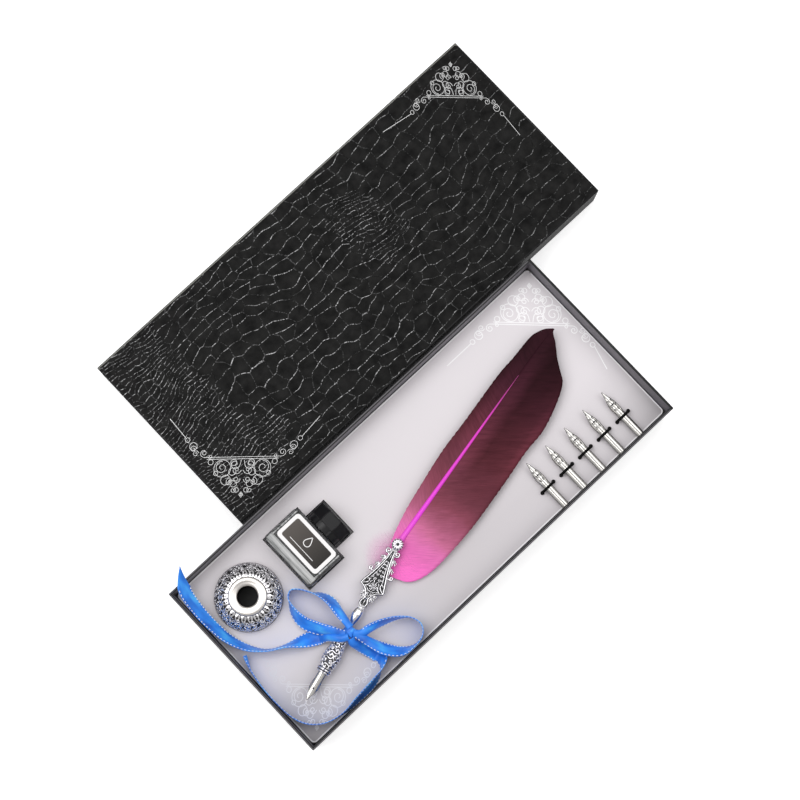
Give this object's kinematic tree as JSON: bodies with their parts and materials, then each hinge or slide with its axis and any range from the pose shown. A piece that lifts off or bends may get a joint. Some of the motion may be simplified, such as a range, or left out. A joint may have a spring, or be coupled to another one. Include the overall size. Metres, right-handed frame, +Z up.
{
  "type": "dip pen gift box",
  "caption": "Rigid gift box, open with its lid beside it, holding a feather dip pen with a ribbon bow, a pen stand, an ink bottle and spare nibs on a padded insert.",
  "frame": {"origin": "centre of the base's underside", "axes": "+X along the box towards the feather's tip, +Y towards the lid, +Z up"},
  "size_m": [0.364, 0.2602, 0.0447],
  "materials": {
    "greyboard": "matte",
    "base_paper": "satin",
    "lid_paper": "embossed gloss",
    "foam": "matte",
    "pearl_card": "pearl satin",
    "elastic": "matte",
    "silver": "polished relief over dark",
    "dark_silver": "polished relief over dark",
    "steel": "satin",
    "shaft": "satin",
    "vane": "soft",
    "down": "soft",
    "ribbon": "satin",
    "glass": "clear",
    "ink": "gloss",
    "label": "satin",
    "cap": "gloss",
    "liner": "matte",
    "cup": "gloss",
    "felt": "matte"
  },
  "bodies": {
    "box_base": {"base_floor": "greyboard", "base_wall_front": "greyboard", "base_wall_back": "greyboard", "base_wall_left": "greyboard", "base_wall_right": "greyboard", "base_wrap": "base_paper", "foam_base_layer": "foam", "foam_pocket_layer": "foam", "insert_card": "pearl_card", "elastic_loop_1": "elastic", "elastic_loop_2": "elastic", "elastic_loop_3": "elastic", "elastic_loop_4": "elastic", "elastic_loop_5": "elastic"},
    "lid": {"lid_top": "greyboard", "lid_wall_front": "greyboard", "lid_wall_back": "greyboard", "lid_wall_left": "greyboard", "lid_wall_right": "greyboard", "lid_wrap": "lid_paper"},
    "pen": {"pen_grip": "silver", "nib_ferrule": "steel", "pen_stem": "silver", "flower_boss": "silver", "feather_shaft": "shaft", "feather_vane_left": "vane", "feather_vane_right": "vane", "feather_down": "down", "ribbon_band": "ribbon", "ribbon_knot": "ribbon", "ribbon_loop_left": "ribbon", "ribbon_loop_right": "ribbon", "ribbon_tail_left": "ribbon", "ribbon_tail_right": "ribbon"},
    "writing_nib": {"pen_nib": "steel"},
    "bottle": {"bottle_glass": "glass", "ink": "ink", "bottle_label": "label"},
    "cap_seal": {"cap_liner": "liner"},
    "cap": {"bottle_cap": "cap"},
    "stand": {"stand_body": "dark_silver", "stand_rim": "silver", "stand_cup": "cup", "stand_felt": "felt"},
    "spare_1": {"spare_nib_1": "steel"},
    "spare_2": {"spare_nib_2": "steel"},
    "spare_3": {"spare_nib_3": "steel"},
    "spare_4": {"spare_nib_4": "steel"},
    "spare_5": {"spare_nib_5": "steel"}
  },
  "joints": [
    {"name": "lid_lift", "type": "slide", "parent": "box_base", "child": "lid", "axis": [0, 0, 1], "range_m": [0, 0.12]},
    {"name": "pen_lift", "type": "slide", "parent": "box_base", "child": "pen", "axis": [0, 0, 1], "range_m": [0, 0.06]},
    {"name": "nib_pull", "type": "slide", "parent": "pen", "child": "writing_nib", "axis": [-0.9598, -0.2807, 0], "range_m": [0, 0.01]},
    {"name": "bottle_lift", "type": "slide", "parent": "box_base", "child": "bottle", "axis": [0, 0, 1], "range_m": [0, 0.06]},
    {"name": "cap_rise", "type": "slide", "parent": "bottle", "child": "cap_seal", "axis": [1, 0, 0], "range_m": [0, 0.0015]},
    {"name": "cap_turn", "type": "hinge", "parent": "cap_seal", "child": "cap", "pos_m": [-0.0573, 0.0292, 0.0246], "axis": [1, 0, 0], "range_deg": [0, 360]},
    {"name": "stand_lift", "type": "slide", "parent": "box_base", "child": "stand", "axis": [0, 0, 1], "range_m": [0, 0.06]},
    {"name": "spare_nib_1_slide", "type": "slide", "parent": "box_base", "child": "spare_1", "axis": [0, 1, 0], "range_m": [0, 0.018]},
    {"name": "spare_nib_2_slide", "type": "slide", "parent": "box_base", "child": "spare_2", "axis": [0, 1, 0], "range_m": [0, 0.018]},
    {"name": "spare_nib_3_slide", "type": "slide", "parent": "box_base", "child": "spare_3", "axis": [0, 1, 0], "range_m": [0, 0.018]},
    {"name": "spare_nib_4_slide", "type": "slide", "parent": "box_base", "child": "spare_4", "axis": [0, 1, 0], "range_m": [0, 0.018]},
    {"name": "spare_nib_5_slide", "type": "slide", "parent": "box_base", "child": "spare_5", "axis": [0, 1, 0], "range_m": [0, 0.018]}
  ],
  "couplings": [
    {"joint": "cap_rise", "follows": "cap_turn", "m_per_rad": 0.00023873}
  ]
}
